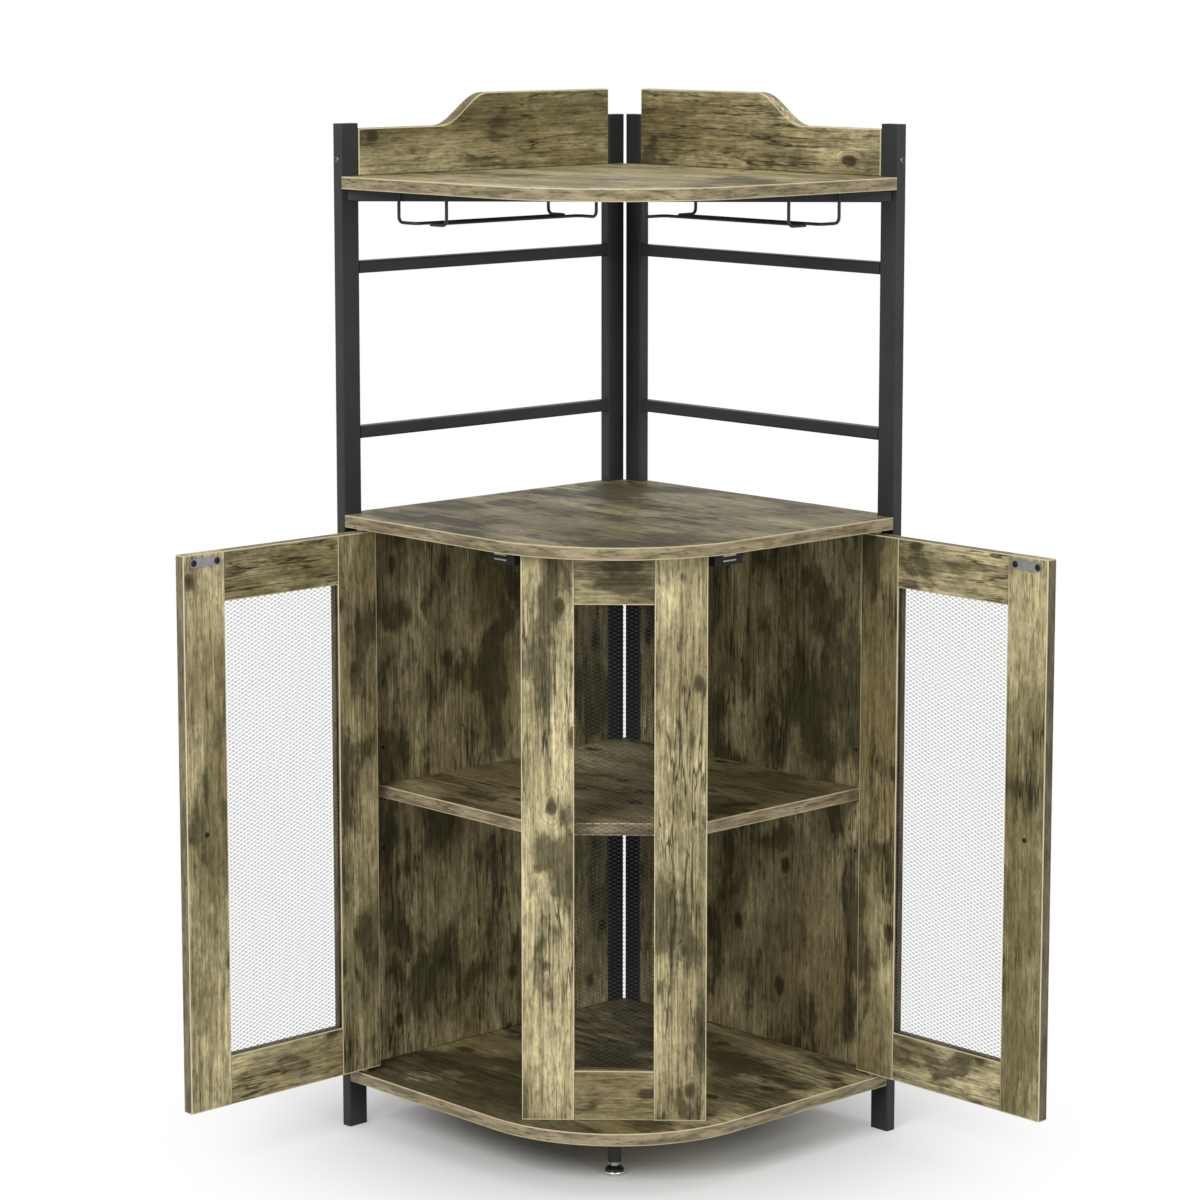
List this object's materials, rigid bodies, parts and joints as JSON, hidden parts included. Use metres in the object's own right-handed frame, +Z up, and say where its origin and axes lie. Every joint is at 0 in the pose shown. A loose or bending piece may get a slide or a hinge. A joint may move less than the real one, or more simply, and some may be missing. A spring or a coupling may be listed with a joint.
{
  "type": "corner bar cabinet",
  "caption": "Free-standing corner bar cabinet with black tube side frames, rounded wood boards, hinged grille doors, an inner shelf, stemware racks and a levelling foot.",
  "frame": {"origin": "middle of the bounding box on the floor, with the doors open as in the picture", "axes": "+Z up, the front faces -Y, the room corner is towards +Y, +X is the right as seen from the front"},
  "size_m": [1.0264, 0.591, 1.2747],
  "materials": {
    "wood": "rustic oak grain, satin",
    "black_coat": "matte black powder coat",
    "grille_black": "black coated expanded metal",
    "steel": "plain steel",
    "dark_plastic": "matte",
    "chrome": "polished"
  },
  "bodies": {
    "cabinet": {"top_shelf": "wood", "counter_top": "wood", "base_board": "wood", "left_side_panel": "wood", "right_side_panel": "wood", "left_guard": "wood", "right_guard": "wood", "centre_left_stile": "wood", "centre_right_stile": "wood", "centre_top_rail": "wood", "centre_bottom_rail": "wood", "left_front_post": "black_coat", "left_rear_post": "black_coat", "right_front_post": "black_coat", "right_rear_post": "black_coat", "left_upper_bar": "black_coat", "left_lower_bar": "black_coat", "right_upper_bar": "black_coat", "right_lower_bar": "black_coat", "front_cross_bar": "black_coat", "left_rack_outer_wire": "black_coat", "left_rack_inner_wire": "black_coat", "right_rack_outer_wire": "black_coat", "right_rack_inner_wire": "black_coat", "centre_leg": "black_coat", "centre_grille": "grille_black", "left_catch": "dark_plastic", "right_catch": "dark_plastic"},
    "left_door": {"left_door_hinge_stile": "wood", "left_door_free_stile": "wood", "left_door_top_rail": "wood", "left_door_bottom_rail": "wood", "left_door_grille": "grille_black", "left_door_strike_plate": "steel", "left_door_knob": "black_coat", "left_door_top_pivot": "steel", "left_door_bottom_pivot": "steel"},
    "right_door": {"right_door_hinge_stile": "wood", "right_door_free_stile": "wood", "right_door_top_rail": "wood", "right_door_bottom_rail": "wood", "right_door_grille": "grille_black", "right_door_strike_plate": "steel", "right_door_knob": "black_coat", "right_door_top_pivot": "steel", "right_door_bottom_pivot": "steel"},
    "shelf": {"inner_shelf": "wood", "shelf_peg_left_front": "steel", "shelf_peg_left_rear": "steel", "shelf_peg_right_front": "steel", "shelf_peg_right_rear": "steel"},
    "foot": {"levelling_foot": "chrome", "foot_nut": "steel"}
  },
  "joints": [
    {"name": "left_door_hinge", "type": "hinge", "parent": "cabinet", "child": "left_door", "pos_m": [-0.31216, -0.05325, 0.4145], "axis": [0, 0, 1], "range_deg": [0, 90]},
    {"name": "right_door_hinge", "type": "hinge", "parent": "cabinet", "child": "right_door", "pos_m": [0.31216, -0.05325, 0.4145], "axis": [0, 0, -1], "range_deg": [0, 90]},
    {"name": "shelf_height", "type": "slide", "parent": "cabinet", "child": "shelf", "axis": [0, 0, 1], "range_m": [-0.0635, 0.0635]},
    {"name": "foot_level", "type": "slide", "parent": "cabinet", "child": "foot", "axis": [0, 0, -1], "range_m": [0, 0.01]}
  ]
}
